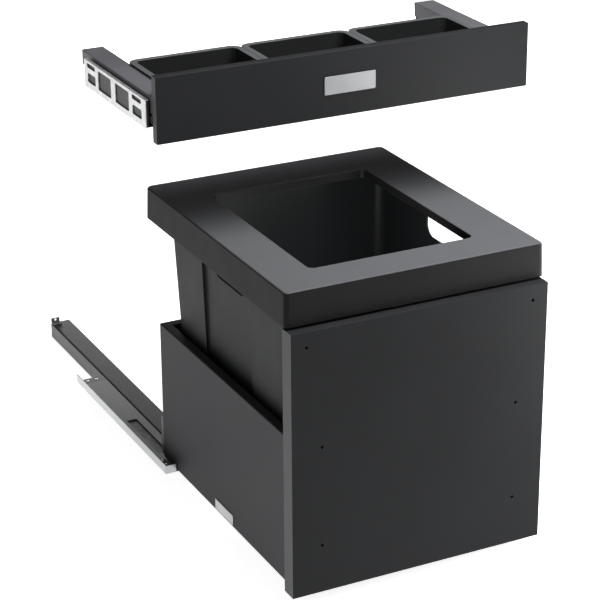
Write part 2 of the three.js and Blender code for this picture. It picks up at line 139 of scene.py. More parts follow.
class Graph:
    """The node tree of one finish, with a Principled shader at its end."""

    def __init__(self, name: str) -> None:
        """Starts a material that holds only its shader and its output."""
        self.material = bpy.data.materials.new(name)
        self.material.use_nodes = True
        self.tree = self.material.node_tree
        self.tree.nodes.clear()
        self.shader = self.node("ShaderNodeBsdfPrincipled")
        self.node("ShaderNodeOutputMaterial", inputs={"Surface": self.shader.outputs[0]})
        self.place = self.node("ShaderNodeTexCoord")

    def node(
        self,
        kind: str,
        settings: dict[str, Any] | None = None,
        inputs: dict[str | int, Any] | None = None,
    ) -> bpy.types.Node:
        """Adds a node, sets it up and feeds its sockets.

        Args:
            kind: Blender's type name of the node.
            settings: The node's own properties, set before its sockets.
            inputs: Sockets by name or number, each with a number, vector, Value or socket.

        Returns:
            The new node.
        """
        made = self.tree.nodes.new(kind)
        for key, value in (settings or {}).items():
            setattr(made, key, value)
        for key, value in (inputs or {}).items():
            self.feed(made.inputs[key], value)
        return made

    def feed(self, socket: bpy.types.NodeSocket, value: Any) -> None:
        """Links a Value or socket to a socket, or sets the socket's own value."""
        if isinstance(value, Value):
            value = value.socket
        if isinstance(value, bpy.types.NodeSocket):
            self.tree.links.new(value, socket)
        else:
            socket.default_value = value

    def noise(self, size: float, detail: float = 2.0, stretch: Colour = (1, 1, 1)) -> Value:
        """Adds cloudy noise, from about 0.3 to 0.7.

        Args:
            size: How far apart the noise's features are, in metres.
            detail: How many finer layers it has.
            stretch: How much closer together they are along X, Y and Z.
        """
        mapping = self.node(
            "ShaderNodeMapping", inputs={"Vector": self.place.outputs["Object"], "Scale": stretch}
        )
        node = self.node(
            "ShaderNodeTexNoise",
            inputs={"Vector": mapping.outputs[0], "Scale": 1 / size, "Detail": detail},
        )
        return Value(self, node.outputs[0])

    def cells(self, size: float) -> Value:
        """Adds patches with a level each, about size metres across, and returns the level."""
        node = self.node(
            "ShaderNodeTexVoronoi",
            inputs={"Vector": self.place.outputs["Object"], "Scale": 1 / size},
        )
        split = self.node("ShaderNodeSeparateColor", inputs={"Color": node.outputs["Color"]})
        return Value(self, split.outputs[0])

    def component(self, output: str, axis: Axis) -> Value:
        """Returns one component of an output of the texture coordinates."""
        split = self.node("ShaderNodeSeparateXYZ", inputs={"Vector": self.place.outputs[output]})
        return Value(self, split.outputs[axis.value])

    def facing(self, axis: Axis) -> Value:
        """Returns 1 where the surface faces along an axis, and 0 where it runs along it."""
        return abs(self.component("Normal", axis))

    def edges(self, width: float) -> Value:
        """Returns 1 on the edges of the piece, to a width in metres, and 0 between them."""
        rounded = self.node("ShaderNodeBevel", {"samples": 3}, {"Radius": width})
        true = self.node("ShaderNodeNewGeometry")
        dot = self.node(
            "ShaderNodeVectorMath",
            {"operation": "DOT_PRODUCT"},
            {0: rounded.outputs[0], 1: true.outputs["Normal"]},
        )
        return (1 - Value(self, dot.outputs["Value"])).spread(0.01, 0.25)

    def blend(self, share: "Value | float", low: Colour, high: Colour) -> bpy.types.NodeSocket:
        """Mixes two colours, each a plain colour or a socket, and returns the mixed one."""
        sides = [(*c, 1.0) if isinstance(c, tuple) else c for c in (low, high)]
        node = self.node(
            "ShaderNodeMix", {"data_type": "RGBA"}, {0: share, 6: sides[0], 7: sides[1]}
        )
        return node.outputs[2]

    def relief(self, *layers: tuple[Value, float, float]) -> None:
        """Adds layers of surface relief, each a height, its strength and its depth in metres."""
        normal = None
        for height, strength, depth in layers:
            node = self.node(
                "ShaderNodeBump", inputs={"Height": height, "Strength": strength, "Distance": depth}
            )
            if normal is not None:
                self.feed(node.inputs["Normal"], normal)
            normal = node.outputs[0]
        self.feed(self.shader.inputs["Normal"], normal)

    def surface(self, **values: Any) -> bpy.types.Material:
        """Feeds the shader's sockets, named with _ for a space, and returns the material."""
        for key, value in values.items():
            name = key.replace("_", " ").replace(" ior", " IOR")
            self.feed(self.shader.inputs[name], value)
        return self.material


def shade(colour: Colour, factor: float) -> Colour:
    """Returns a colour made lighter or darker by a factor."""
    return tuple(min(channel * factor, 1.0) for channel in colour)


# ---------- finishes


@dataclass(frozen=True)
class Finish:
    """A surface finish; material() makes it once and gives the same one again."""

    name: str
    colour: Colour
    roughness: float

    made: ClassVar[dict[str, bpy.types.Material]] = {}

    def material(self) -> bpy.types.Material:
        """Returns this finish's material, and makes it the first time."""
        if self.name not in Finish.made:
            Finish.made[self.name] = self.dress(Graph(self.name))
        return Finish.made[self.name]

    def dress(self, graph: Graph) -> bpy.types.Material:
        """Adds the finish's nodes to the graph and returns the material."""
        raise NotImplementedError

    def mottle(
        self, graph: Graph, level: Value, dark: float, light: float
    ) -> bpy.types.NodeSocket:
        """Returns the finish's colour, from a darker to a lighter shade of it as a level rises."""
        return graph.blend(level, shade(self.colour, dark), shade(self.colour, light))


@dataclass(frozen=True)
class Laminate(Finish):
    """Coated board with a fine pearl texture and a lighter edge band; the band is left off faces
    that point up, a painted shade.
    """

    band: Colour = (0.078, 0.078, 0.081)
    wide_face: Axis = Axis.Y
    gloss: float = 0.12

    def dress(self, graph: Graph) -> bpy.types.Material:
        """Adds the finish's nodes."""
        cloud = graph.noise(0.12, 3.0)
        pearl = graph.noise(0.0013, 2.0)
        edge = graph.edges(0.0005)
        # Painted shade: the lighter band is left off faces that point up, so top edges stay dark as
        # if shadowed
        painted_top_shading = graph.facing(Axis.Z).spread(0.5, 0.9)
        band = graph.facing(self.wide_face).spread(0.75, 0.45) * (1 - painted_top_shading * 0.92)
        mix = (cloud * 0.6 + pearl * 0.4).spread(0.35, 0.65)
        face = self.mottle(graph, mix, 0.9, 1.12)
        coloured = graph.blend(band, face, self.band)
        with_lighter_edges = graph.blend(edge * 0.25, coloured, shade(self.band, 1.2))
        graph.relief((pearl, 0.16, 0.0002), (cloud, 0.05, 0.002))
        return graph.surface(
            Base_Color=with_lighter_edges,
            Roughness=self.roughness + (pearl - 0.5) * 0.2 + (cloud - 0.5) * 0.12 - edge * 0.08,
            Specular_IOR_Level=self.gloss,
        )


@dataclass(frozen=True)
class MouldedPlastic(Finish):
    """Injection moulded plastic with a fine eroded grain, glossier at its edges; faces that point
    up carry painted light, and its edges a lighter tint that is partly wear and partly painted
    highlight.
    """

    grain: float = 0.0011
    gloss: float = 0.4
    # How many times lighter the faces that point up are painted (a painted top light), and the
    # height above which that light is painted
    scuffed: float = 1.0
    scuffed_above: float = 0.0

    def dress(self, graph: Graph) -> bpy.types.Material:
        """Adds the finish's nodes."""
        flow = graph.noise(0.16, 2.0, (1.0, 1.0, 0.35))
        grain = graph.noise(self.grain, 3.0)
        pits = graph.cells(self.grain * 1.6)
        blotches = graph.noise(0.03, 4.0)
        edge = graph.edges(0.0013)
        base = self.mottle(graph, (flow * 0.7 + grain * 0.3).spread(0.36, 0.64), 0.88, 1.13)
        # Painted light: faces that point up, above a set height, get a lighter copy of the colour,
        # patchy with noise
        height = graph.component("Object", Axis.Z)
        reach = height.spread(self.scuffed_above, self.scuffed_above + 2 * MM)
        painted_top_shading = graph.facing(Axis.Z).spread(0.5, 0.95) * reach * (0.85 + blotches * 0.3)
        base = graph.blend(painted_top_shading, base, shade(self.colour, self.scuffed))
        # Edges painted lighter: partly edge wear, partly a painted highlight on rims and corners
        edge_wear_and_highlight = shade(self.colour, max(2.2, self.scuffed * 1.5))
        with_lighter_edges = graph.blend(edge * blotches.spread(0.35, 0.7) * 0.5, base, edge_wear_and_highlight)
        graph.relief((pits, 0.08, 0.00012), (grain, 0.14, 0.00015), (flow, 0.06, 0.002))
        return graph.surface(
            Base_Color=with_lighter_edges,
            Roughness=self.roughness
            + (grain - 0.5) * 0.22
            + (blotches - 0.5) * 0.1
            - edge * 0.1,
            Specular_IOR_Level=self.gloss,
        )


@dataclass(frozen=True)
class PowderCoat(Finish):
    """Powder coated steel: orange peel, fine speckle and thin coating on the edges."""

    def dress(self, graph: Graph) -> bpy.types.Material:
        """Adds the finish's nodes."""
        peel = graph.noise(0.0035, 2.0)
        speckle = graph.noise(0.0007, 1.0)
        cloud = graph.noise(0.09, 2.0)
        edge = graph.edges(0.0008)
        mix = (cloud * 0.5 + speckle * 0.5).spread(0.36, 0.64)
        base = self.mottle(graph, mix, 0.87, 1.15)
        with_lighter_edges = graph.blend(edge * cloud.spread(0.3, 0.7) * 0.6, base, shade(self.colour, 1.9))
        graph.relief((peel, 0.14, 0.0004), (speckle, 0.12, 0.0001))
        return graph.surface(
            Base_Color=with_lighter_edges,
            Roughness=self.roughness + (speckle - 0.5) * 0.25 + (cloud - 0.5) * 0.1 - edge * 0.1,
            Specular_IOR_Level=0.45,
        )


@dataclass(frozen=True)
class PlatedSteel(Finish):
    """Zinc plated sheet: drawn along its length, with patchy spangle and bright cut edges."""

    drawn_along: Axis = Axis.Y
    spangle: float = 0.006
    patchy: float = 1.0
    metallic: float = 0.9
    # How far the faces that point up are darkened
    greased: float = 0.0

    def dress(self, graph: Graph) -> bpy.types.Material:
        """Adds the finish's nodes."""
        stretch = [18.0, 18.0, 18.0]
        stretch[self.drawn_along.value] = 0.6
        lines = graph.noise(0.012, 3.0, tuple(stretch))
        patches = graph.cells(self.spangle)
        haze = graph.noise(0.035, 3.0)
        edge = graph.edges(0.0007)
        mix = lines * 0.4 + (patches * 0.35 + haze * 0.25) * self.patchy
        base = self.mottle(graph, mix.spread(0.25, 0.75), 0.82, 1.08)
        dull = haze.spread(0.52, 0.72) * (0.3 * self.patchy)
        dulled = graph.blend(dull, base, shade(self.colour, 0.6))
        # Darkens the faces that point up
        if self.greased:
            top_darkening = graph.facing(Axis.Z).spread(0.5, 0.9) * self.greased
            dulled = graph.blend(top_darkening, dulled, shade(self.colour, 0.12))
        bright = graph.blend(edge * 0.6, dulled, shade(self.colour, 1.25))
        graph.relief((lines, 0.12, 0.0001), (haze, 0.05, 0.0006))
        return graph.surface(
            Base_Color=bright,
            Metallic=self.metallic - haze.spread(0.5, 0.75) * 0.15,
            Roughness=self.roughness + (lines - 0.5) * 0.3 + (patches - 0.5) * 0.1 - edge * 0.08,
        )


@dataclass(frozen=True)
class BlankLabel(Finish):
    """A blank plate of light printed film with a thin dark frame line."""

    def dress(self, graph: Graph) -> bpy.types.Material:
        """Adds the finish's nodes."""
        haze = graph.noise(0.012, 3.0)
        fibre = graph.noise(0.0008, 2.0)
        edge = graph.edges(0.0008)
        base = self.mottle(graph, (haze * 0.5 + fibre * 0.5).spread(0.3, 0.7), 0.85, 1.1)
        framed = graph.blend(edge * 0.6, base, shade(self.colour, 0.45))
        graph.relief((fibre, 0.1, 0.0001))
        return graph.surface(
            Base_Color=framed,
            Roughness=self.roughness + (haze - 0.5) * 0.2,
            Specular_IOR_Level=0.4,
        )


FRONT_BOARD = Laminate("front_board", (0.0076, 0.008, 0.0086), 0.5, gloss=0.085)
BOX_COLOUR = (0.026, 0.0264, 0.029)
SIDE_BOARD = Laminate("side_board", BOX_COLOUR, 0.52, wide_face=Axis.X)
REAR_BOARD = Laminate("rear_board", BOX_COLOUR, 0.52)
FLOOR_BOARD = Laminate("floor_board", BOX_COLOUR, 0.52, wide_face=Axis.Z)
BIN_PLASTIC = MouldedPlastic("bin_plastic", (0.0082, 0.0088, 0.0094), 0.48, gloss=0.12)
# The lid's top face is painted 10.5 times lighter than its sides: a painted top light
LID_PLASTIC = MouldedPlastic(
    "lid_plastic",
    (0.0068, 0.0069, 0.0073),
    0.46,
    gloss=0.07,
    scuffed=10.5,
    scuffed_above=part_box("lid_frame")[1].z - 8 * MM,
)
# The tray rims are painted 7 times lighter than the walls: a painted top light
TRAY_PLASTIC = MouldedPlastic(
    "tray_plastic",
    (0.009, 0.0093, 0.0098),
    0.42,
    gloss=0.25,
    scuffed=7.0,
    scuffed_above=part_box("tray_left")[1].z - 6 * MM,
)
RUNNER_PLASTIC = MouldedPlastic("runner_plastic", (0.01, 0.01, 0.011), 0.4)
BAR_COAT = PowderCoat("bar_coat", (0.07, 0.07, 0.077), 0.42)
CHANNEL_COAT = PowderCoat("channel_coat", (0.016, 0.016, 0.017), 0.4)
ZINC_SHEET = PlatedSteel("zinc_sheet", (0.25, 0.253, 0.26), 0.42, patchy=0.4, metallic=0.5)
ZINC_UPRIGHT = PlatedSteel(
    "zinc_upright", (0.3, 0.305, 0.31), 0.42, drawn_along=Axis.Z, patchy=0.4, metallic=0.6
)
WALL_ZINC = PlatedSteel("wall_zinc", (0.62, 0.625, 0.635), 0.34, patchy=0.4, greased=0.9)
END_ZINC = PlatedSteel("end_zinc", (0.2, 0.203, 0.21), 0.42, patchy=0.4, metallic=0.6)
BRIGHT_PLATE = PlatedSteel("bright_plate", (0.76, 0.765, 0.77), 0.34)
BRIGHT_SCREW = PlatedSteel("bright_screw", (0.82, 0.82, 0.83), 0.25, spangle=0.002)
BADGE_STEEL = PlatedSteel(
    "badge_steel", (0.27, 0.273, 0.277), 0.38, drawn_along=Axis.X, patchy=0.1
)
PRINTED_PLATE = BlankLabel("printed_plate", (0.6, 0.605, 0.61), 0.5)

# ---------- making pieces

BODY_OF = {
    node: body
    for body, nodes in frame["record"]["behaviour"]["bodies"].items()
    for node in nodes
}

WELD_GAP = 0.01 * MM
CLOSE = 0.001 * MM
FLAT_WITHIN = math.radians(0.5)

Edges = list[bmesh.types.BMEdge]


@dataclass
class Softening:
    """How the edges of a piece are rounded: over what width, and with how many faces."""

    width: float = 0.4 * MM
    segments: int = 2
    sharper_than: ClassVar[float] = math.radians(34)

    def apply(self, piece: bpy.types.Object) -> None:
        """Adds the rounding to a piece, and normals that keep its flat faces flat."""
        bevel = piece.modifiers.new("rounding", "BEVEL")
        bevel.width = self.width
        bevel.segments = self.segments
        bevel.limit_method = "ANGLE"
        bevel.angle_limit = self.sharper_than
        bevel.use_clamp_overlap = True
        piece.modifiers.new("normals", "WEIGHTED_NORMAL")


def dress_node(name: str, finish: Finish, softening: Softening | None = None) -> None:
    """Gives a part that keeps its shape its finish and softer edges."""
    part = frame["nodes"][name]
    part.data.materials.clear()
    part.data.materials.append(finish.material())
    weld = part.modifiers.new("weld", "WELD")
    weld.merge_threshold = WELD_GAP
    merge = part.modifiers.new("whole_faces", "DECIMATE")
    merge.decimate_type = "DISSOLVE"
    merge.angle_limit = FLAT_WITHIN
    (softening or Softening()).apply(part)
    log.info("%s keeps its shape, finish %s", name, finish.name)


def dress_pair(name: str, finish: Finish, softening: Softening | None = None) -> None:
    """Dresses the left and the right part of a pair."""
    for side in Side:
        dress_node(f"{name}_{side}", finish, softening)


def round_off(mesh: bmesh.types.BMesh, geom: list, kind: str, radius: float, segments: int) -> None:
    """Rounds corners or bends of a mesh in the making.

    Args:
        mesh: The mesh.
        geom: What to round.
        kind: VERTICES for corners of an outline, EDGES for bends.
        radius: How far back the rounding starts.
        segments: How many steps it has.
    """
    bmesh.ops.bevel(
        mesh, geom=geom, affect=kind, offset=radius, segments=segments, profile=0.5, material=-1
    )


def unique(items: Iterable) -> list:
    """Returns each item once, in the order in which they come up."""
    return list(dict.fromkeys(items))


def put(name: str, data: bpy.types.ID) -> bpy.types.Object:
    """Puts an object that shows some data in the scene."""
    made = bpy.data.objects.new(name, data)
    bpy.context.scene.collection.objects.link(made)
    return made


STAND_UP = Matrix(((0, 0, 1), (1, 0, 0), (0, 1, 0))).to_4x4()


class Workpiece:
    """A piece in the making: a mesh in metres that becomes an object at the origin."""

    apart: ClassVar[float] = 0.1

    def __init__(self) -> None:
        """Starts with an empty mesh."""
        self.mesh = bmesh.new()

    def block(self, low: Vector, high: Vector) -> list[bmesh.types.BMVert]:
        """Adds a block between two corners and returns its vertices."""
        verts = bmesh.ops.create_cube(self.mesh, size=1.0)["verts"]
        bmesh.ops.scale(self.mesh, vec=high - low, verts=verts)
        bmesh.ops.translate(self.mesh, vec=(high + low) / 2, verts=verts)
        return verts

    def ring(
        self,
        across: tuple[float, float],
        deep: tuple[float, float],
        level: float,
        radius: float,
        segments: int = 8,
    ) -> Edges:
        """Adds the outline of a rounded rectangle that lies flat, and returns its edges.

        Args:
            across: Where it starts and ends along X.
            deep: Where it starts and ends along Y.
            level: Its height.
            radius: Radius of its corners.
            segments: How many edges each corner has.
        """
        known = set(self.mesh.verts)
        made = bmesh.ops.create_grid(self.mesh, x_segments=1, y_segments=1, size=0.5)["verts"]
        size = (across[1] - across[0], deep[1] - deep[0], 1.0)
        middle = ((across[0] + across[1]) / 2, (deep[0] + deep[1]) / 2, level)
        bmesh.ops.scale(self.mesh, vec=size, verts=made)
        bmesh.ops.translate(self.mesh, vec=middle, verts=made)
        round_off(self.mesh, made, "VERTICES", radius, segments)
        new = [vert for vert in self.mesh.verts if vert not in known]
        faces = unique(face for vert in new for face in vert.link_faces)
        edges = unique(edge for vert in new for edge in vert.link_edges)
        bmesh.ops.delete(self.mesh, geom=faces, context="FACES_ONLY")
        return edges

    def ring_within(
        self, low: Vector, high: Vector, inset: float, level: float, radius: float
    ) -> Edges:
        """Adds a lying outline, at a height, that keeps an inset from the sides of a box."""
        across = (low.x + inset, high.x - inset)
        return self.ring(across, (low.y + inset, high.y - inset), level, radius)

    def take(self, other: "Workpiece") -> None:
        """Moves another piece's mesh into this one."""
        carrier = bpy.data.meshes.new("carrier")
        other.mesh.to_mesh(carrier)
        other.mesh.free()
        self.mesh.from_mesh(carrier)
        bpy.data.meshes.remove(carrier)

    def skin(self, *rings: Edges) -> None:
        """Joins each outline to the next with a band of faces.

        Two of them are held further apart while they are joined, so that each corner meets
        its own even where both lie at one height.
        """
        for low, high in pairwise(rings):
            levels = [ring[0].verts[0].co.z for ring in (low, high)]
            lift = math.copysign(self.apart, levels[1] - levels[0])
            verts = unique(vert for edge in high for vert in edge.verts)
            bmesh.ops.translate(self.mesh, vec=(0, 0, lift), verts=verts)
            bmesh.ops.bridge_loops(self.mesh, edges=low + high)
            bmesh.ops.translate(self.mesh, vec=(0, 0, -lift), verts=verts)

    def cap(self, ring: Edges) -> None:
        """Closes an outline with one flat face."""
        bmesh.ops.contextual_create(self.mesh, geom=ring)

    def turn_out(self, direction: Vector) -> None:
        """Turns the faces outwards, so that the one furthest in a direction faces that way."""
        bmesh.ops.recalc_face_normals(self.mesh, faces=self.mesh.faces)
        self.mesh.normal_update()
        furthest = max(
            self.mesh.faces,
            key=lambda face: (
                round(face.calc_center_median().dot(direction), 5),
                abs(face.normal.dot(direction)),
            ),
        )
        if furthest.normal.dot(direction) < 0:
            bmesh.ops.reverse_faces(self.mesh, faces=self.mesh.faces)

    def mirror(self, side: Side) -> None:
        """Mirrors a piece drawn on the left when it belongs to the right."""
        if side is Side.RIGHT:
            bmesh.ops.scale(self.mesh, vec=(-1, 1, 1), verts=self.mesh.verts)
            bmesh.ops.reverse_faces(self.mesh, faces=self.mesh.faces)

    def finish(
        self,
        name: str,
        finish: Finish,
        nodes: tuple[str, ...],
        sheet: float = 0.0,
        centred: bool = False,
        softening: Softening | None = None,
    ) -> None:
        """Makes the object, dresses it and puts it in the assembly.

        Args:
            name: Name of the piece.
            finish: What its surface is.
            nodes: The assembly's parts that it stands for.
            sheet: Thickness to give a sheet, or 0 for a piece that is solid already.
            centred: Whether that thickness lies on both sides of the sheet.
            softening: How its edges are rounded.
        """
        for face in self.mesh.faces:
            face.smooth = True
        data = bpy.data.meshes.new(name)
        self.mesh.to_mesh(data)
        self.mesh.free()
        piece = put(name, data)
        data.materials.append(finish.material())
        if sheet:
            solidify = piece.modifiers.new("sheet", "SOLIDIFY")
            solidify.thickness = sheet
            solidify.offset = 0.0 if centred else -1.0
            solidify.use_even_offset = True
            solidify.use_quality_normals = True
        (softening or Softening()).apply(piece)
        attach(piece, BODY_OF[nodes[0]])
        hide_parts(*nodes)
        log.info("%s stands for %s", name, ", ".join(nodes))


@dataclass
class BentSheet:
    """A strip of sheet steel bent along its length, drawn on the left side.

    Attributes:
        section: Corners of the sheet's middle line, across its length.
        run: Where it starts and ends along its length.
        thickness: Thickness of the sheet.
        along: Direction of its length.
        bend: Radius of the bends.
    """

    section: list[tuple[float, float]]
    run: tuple[float, float]
    thickness: float
    along: Axis = Axis.Y
    bend: float = 1.6 * MM
    bend_steps: ClassVar[int] = 4

    @classmethod
    def of(
        cls,
        node: str,
        thickness: float,
        path: tuple[str, ...],
        along: Axis = Axis.Y,
        bend: float = 1.6 * MM,
    ) -> "BentSheet":
        """Fits a sheet into the box of a part.

        Args:
            node: The part, on the left side.
            thickness: Thickness of the sheet.
            path: The middle line's corners, each with a mark for the place across and one for
                the place up: < and > are the box's low and high face, [ and ] lie half a
                sheet inside them.
            along: Direction of the sheet's length.
            bend: Radius of the bends.
        """
        low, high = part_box(node)
        half = Vector.Fill(3, thickness / 2)
        marks = {"<": low, ">": high, "[": low + half, "]": high - half}
        axes = [axis.value for axis in Axis if axis is not along]
        section = [tuple(marks[mark][axis] for mark, axis in zip(two, axes)) for two in path]
        return cls(section, (low[along.value], high[along.value]), thickness, along, bend)

    def point(self, pair: tuple[float, float], run: float) -> Vector:
        """Returns a point from its place on the section and along the length."""
        values = list(pair)
        values.insert(self.along.value, run)
        return Vector(values)

    def form(self) -> Workpiece:
        """Makes the bent strip, still without thickness."""
        work = Workpiece()
        mesh = work.mesh
        verts = [mesh.verts.new(self.point(pair, self.run[0])) for pair in self.section]
        edges = [mesh.edges.new(pair) for pair in pairwise(verts)]
        drawn = bmesh.ops.extrude_edge_only(mesh, edges=edges)["geom"]
        moved = [item for item in drawn if isinstance(item, bmesh.types.BMVert)]
        travel = self.point((0.0, 0.0), self.run[1] - self.run[0])
        bmesh.ops.translate(mesh, vec=travel, verts=moved)
        bends = [edge for edge in mesh.edges if len(edge.link_faces) == 2]
        round_off(mesh, bends, "EDGES", self.bend, self.bend_steps)
        return work

    def pair(self, name: str, finish: Finish, node: str) -> None:
        """Makes the left and the right piece for a pair of parts."""
        for side in Side:
            work = self.form()
            work.mirror(side)
            work.finish(
                f"{name}_{side}",
                finish,
                (f"{node}_{side}",),
                self.thickness,
                True,
                Softening(0.2 * MM),
            )


def turned(profile: list[tuple[float, float]], centre: Vector, steps: int = 28) -> Workpiece:
    """Turns points, each a radius and a height, about an upright axis through a centre."""
    work = Workpiece()
    verts = [work.mesh.verts.new(centre + Vector((r, 0, z))) for r, z in profile]
    edges = [work.mesh.edges.new(pair) for pair in pairwise(verts)]
    bmesh.ops.spin(
        work.mesh,
        geom=verts + edges,
        cent=centre,
        axis=(0, 0, 1),
        angle=2 * math.pi,
        steps=steps,
        use_merge=True,
    )
    bmesh.ops.remove_doubles(work.mesh, verts=work.mesh.verts, dist=CLOSE)
    return work


# ---------- carriage and bin


@dataclass
class Carriage:
    """The boards that carry the bin, with their brackets and runner legs."""

    board_edge: Softening = field(default_factory=lambda: Softening(0.7 * MM, 3))
    sheet: float = 1.5 * MM

    def build(self) -> None:
        """Dresses the boards and makes the bent steel parts."""
        dress_node("front_panel", FRONT_BOARD, self.board_edge)
        dress_pair("side_panel", SIDE_BOARD, self.board_edge)
        dress_node("rear_panel", REAR_BOARD, self.board_edge)
        dress_node("floor_panel", FLOOR_BOARD, self.board_edge)
        dress_node("side_plate", PRINTED_PLATE, Softening(0.15 * MM))
        self.brackets()
        self.runner_legs()
        for place in (1, 2):
            dress_pair(f"runner_shoe_{place}", RUNNER_PLASTIC)

    def brackets(self) -> None:
        """Makes the upright angles at the front and the rear of the side boards."""
        for end, finish in (("front", ZINC_UPRIGHT), ("rear", BAR_COAT)):
            sheet = BentSheet.of(f"{end}_bracket_left", self.sheet, (">[", "[[", "[>"), Axis.Z)
            sheet.pair(f"{end}_angle", finish, f"{end}_bracket")

    def runner_legs(self) -> None:
        """Makes the angles under the floor board that run in the telescopic rails."""
        sheet = BentSheet.of("carriage_runner_left", self.sheet, ("[<", "[]", ">]"))
        sheet.pair("runner_leg", ZINC_SHEET, "carriage_runner")


@dataclass
class Bin:
    """The tall tapered bin, with a recess and a hand hole in each side."""

    wall: float = 3 * MM
    rim: float = 9 * MM
    radius: float = 18 * MM
    foot_round: float = 5 * MM
    foot: tuple[float, float, float] = (161 * MM, -453.5 * MM, -88.5 * MM)
    recess: tuple[float, float] = (-329.5 * MM, -179.5 * MM)
    recess_depth: float = 4 * MM
    recess_top: float = 432 * MM
    hand_hole: tuple[float, float] = (-313 * MM, -213 * MM)
    hand_hole_height: tuple[float, float] = (374 * MM, 418 * MM)
    hand_hole_corner: float = 17 * MM

    def build(self) -> None:
        """Makes the bin."""
        low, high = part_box("bin")
        mouth = high.x - self.rim
        front, rear = low.y + self.rim, high.y - self.rim
        foot, foot_front, foot_rear = self.foot
        top = high.z - self.wall
        work = Workpiece()

        def level(inset: float, share: float, height: float) -> Edges:
            """Adds the outline at a share of the way from the foot to the mouth."""
            half = foot + (mouth - foot) * share - inset
            start = foot_front + (front - foot_front) * share + inset
            end = foot_rear + (rear - foot_rear) * share - inset
            return work.ring((-half, half), (start, end), height, self.radius - inset * 0.5)

        share = self.foot_round / (high.z - low.z)
        rings = [
            level(self.foot_round, 0.0, low.z),
            level(self.foot_round * 0.3, share / 3, low.z + self.foot_round * 0.3),
            level(0.0, share, low.z + self.foot_round),
            level(0.0, 1 - self.wall / (high.z - low.z), top),
        ]
        rim = work.ring((-high.x, high.x), (low.y, high.y), top, self.radius + self.rim)
        work.skin(*rings, rim)
        work.cap(rings[0])
        work.turn_out(Vector((0, 0, -1)))
        for sign in (-1, 1):
            self.press_recess(work, sign)
        work.finish("bin_bucket", BIN_PLASTIC, ("bin",), self.wall, False, Softening(0.9 * MM, 3))

    def press_recess(self, work: Workpiece, sign: int) -> None:
        """Sets part of the left (-1) or right (1) wall inwards and cuts the hand hole in it."""
        mesh = work.mesh
        wall = max(
            (face for face in mesh.faces if face.normal.x * sign > 0.9),
            key=lambda face: face.calc_area(),
        )
        region = [wall]
        cuts = [
            (Vector((0, place, 0)), Vector((0, 1, 0))) for place in self.recess
        ] + [(Vector((0, 0, self.recess_top)), Vector((0, 0, 1)))]
        for place, normal in cuts:
            around = (item for face in region for item in (*face.edges, *face.verts))
            geometry = unique([*region, *around])
            cut = bmesh.ops.bisect_plane(
                mesh, geom=geometry, dist=CLOSE, plane_co=place, plane_no=normal
            )
            region = [item for item in cut["geom"] if isinstance(item, bmesh.types.BMFace)]
        inner = min(
            region,
            key=lambda face: (face.calc_center_median() - self.recess_centre(sign)).length,
        )
        pressed = bmesh.ops.extrude_face_region(mesh, geom=[inner])["geom"]
        moved = [item for item in pressed if isinstance(item, bmesh.types.BMVert)]
        floor = next(item for item in pressed if isinstance(item, bmesh.types.BMFace))
        bmesh.ops.translate(mesh, vec=(-sign * self.recess_depth, 0, 0), verts=moved)
        bmesh.ops.delete(mesh, geom=[inner], context="FACES_ONLY")
        self.cut_hand_hole(work, floor)

    def recess_centre(self, sign: int) -> Vector:
        """Returns the middle of a recess."""
        return Vector((sign * self.foot[0], sum(self.recess) / 2, self.recess_top / 2))

    def cut_hand_hole(self, work: Workpiece, floor: bmesh.types.BMFace) -> None:
        """Cuts a rounded hole into the sloping floor of a recess."""
        mesh = work.mesh
        mesh.normal_update()
        normal, anchor = floor.normal.copy(), floor.calc_center_median()
        border = list(floor.edges)
        bmesh.ops.delete(mesh, geom=[floor], context="FACES_ONLY")
        low, high = self.hand_hole_height
        hole = work.ring(self.hand_hole, (low, high), 0.0, self.hand_hole_corner, 9)
        verts = unique(vert for edge in hole for vert in edge.verts)
        bmesh.ops.transform(mesh, matrix=STAND_UP, verts=verts)
        for vert in verts:
            away = (anchor - vert.co).dot(normal)
            vert.co.x += away / normal.x
        bmesh.ops.triangle_fill(mesh, use_beauty=True, edges=border + hole, normal=normal)


@dataclass
class Lid:
    """The frame lid: a broad flat frame with a skirt and a collar round the opening."""

    wall: float = 3 * MM
    draft: float = 1.2 * MM
    corner: float = 7 * MM
    edge_round: float = 3 * MM
    collar: float = 12 * MM
    opening: tuple[float, float, float, float] = (-125 * MM, 118.5 * MM, -417.5 * MM, -110.5 * MM)
    opening_corner: float = 9 * MM

    def build(self) -> None:
        """Makes the lid."""
        low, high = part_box("lid_frame")
        work = Workpiece()
        step = self.edge_round

        def outside(inset: float, height: float) -> Edges:
            """Adds the outer outline at a height."""
            return work.ring_within(low, high, inset, height, self.corner)

        def around(out: float, height: float) -> Edges:
            """Adds the outline of the opening at a height."""
            left, right, front, rear = self.opening
            across, deep = (left - out, right + out), (front - out, rear + out)
            return work.ring(across, deep, height, self.opening_corner + out)

        curve = [math.radians(angle) for angle in (0, 22.5, 45, 67.5, 90)]
        rings = [outside(0.0, low.z)]
        rings += [
            outside(self.draft + step * (1 - math.cos(a)), high.z - step * (1 - math.sin(a)))
            for a in curve
        ]
        lip = 1.6 * MM
        rings += [around(lip * (1 - math.sin(a)), high.z - lip * (1 - math.cos(a))) for a in curve]
        rings.append(around(0.0, high.z - self.collar))
        work.skin(*rings)
        work.turn_out(Vector((0, 0, 1)))
        work.finish(
            "lid_moulding", LID_PLASTIC, ("lid_frame",), self.wall, False, Softening(0.5 * MM)
        )


# ---------- runners


